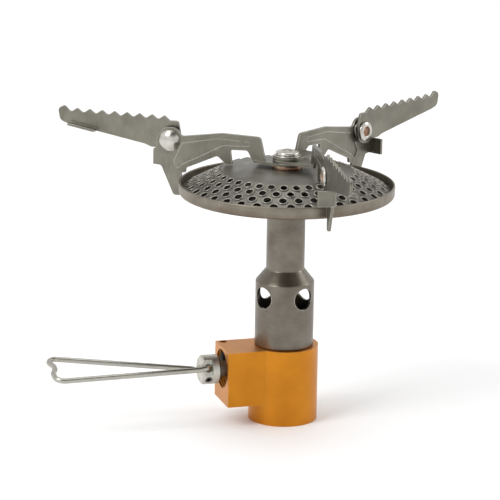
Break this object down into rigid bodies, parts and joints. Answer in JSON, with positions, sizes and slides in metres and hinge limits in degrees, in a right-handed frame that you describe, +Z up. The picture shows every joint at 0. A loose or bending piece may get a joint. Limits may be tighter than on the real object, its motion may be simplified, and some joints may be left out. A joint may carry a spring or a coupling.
{
  "type": "canister stove",
  "caption": "Compact screw-on gas burner: anodised valve block, wire control handle, slim mixing tube, round perforated head and folding toothed pot supports.",
  "frame": {"origin": "centre of the canister socket's mouth on the underside of the valve body", "axes": "+Z up along the mixing tube, -X along the valve spindle towards the wire handle"},
  "size_m": [0.1162, 0.0998, 0.0784],
  "materials": {
    "orange_anodised": "satin orange anodised aluminium",
    "titanium": "bead-blasted bare titanium, warm grey",
    "stainless": "turned and polished stainless steel",
    "dark_steel": "dark spring steel",
    "heat_tinted": "stainless steel tinted brown by heat",
    "brass": "machined brass",
    "black_rubber": "nitrile rubber"
  },
  "bodies": {
    "stove": {"valve_body": "orange_anodised", "canister_o_ring": "black_rubber", "inlet_pin": "stainless", "inlet_filter": "brass", "gland_nut": "dark_steel", "gland_retaining_pin": "dark_steel", "gas_jet": "brass", "burner_tube": "titanium", "burner_pan": "titanium", "burner_plate": "titanium", "centre_bolt": "stainless", "bolt_nut": "stainless", "lower_washer": "heat_tinted", "top_washer": "stainless", "front_inner_arm": "titanium", "front_rivet": "stainless", "front_spring_washer": "stainless"},
    "stem_seal": {"spindle_o_ring": "black_rubber"},
    "valve_stem": {"needle_spindle": "stainless", "control_hub": "stainless", "hub_roll_pin": "dark_steel"},
    "handle": {"wire_handle": "stainless"},
    "left_support": {"left_inner_arm": "titanium", "left_rivet": "stainless", "left_spring_washer": "stainless"},
    "right_support": {"right_inner_arm": "titanium", "right_rivet": "stainless", "right_spring_washer": "stainless"},
    "left_arm": {"left_outer_arm": "titanium"},
    "right_arm": {"right_outer_arm": "titanium"},
    "front_arm": {"front_outer_arm": "titanium"}
  },
  "joints": [
    {"name": "stem_travel", "type": "slide", "parent": "stove", "child": "stem_seal", "axis": [-1, 0, 0], "range_m": [0, 0.00172]},
    {"name": "valve_turn", "type": "hinge", "parent": "stem_seal", "child": "valve_stem", "pos_m": [-0.0212, 0, 0.0144], "axis": [-1, 0, 0], "range_deg": [0, 810]},
    {"name": "handle_fold", "type": "hinge", "parent": "valve_stem", "child": "handle", "pos_m": [-0.0212, 0, 0.0144], "axis": [0, -0.9272, 0.3746], "range_deg": [-86, 93]},
    {"name": "left_swing", "type": "hinge", "parent": "stove", "child": "left_support", "pos_m": [0, 0, 0.068], "axis": [0, 0, 1], "range_deg": [0, 95]},
    {"name": "right_swing", "type": "hinge", "parent": "left_support", "child": "right_support", "pos_m": [0, 0, 0.068], "axis": [0, 0, 1], "range_deg": [0, 70]},
    {"name": "left_fold", "type": "hinge", "parent": "left_support", "child": "left_arm", "pos_m": [-0.02666, 0.01702, 0.0719], "axis": [0.575, 0.8181, 0], "range_deg": [0, 148]},
    {"name": "right_fold", "type": "hinge", "parent": "right_support", "child": "right_arm", "pos_m": [0.02582, 0.01831, 0.0719], "axis": [0.5284, -0.849, 0], "range_deg": [0, 148]},
    {"name": "front_fold", "type": "hinge", "parent": "stove", "child": "front_arm", "pos_m": [0.00133, -0.03205, 0.0719], "axis": [-0.9914, 0.1305, 0], "range_deg": [0, 148]}
  ],
  "couplings": [
    {"joint": "stem_travel", "follows": "valve_turn", "m_per_rad": 0.00011937}
  ]
}
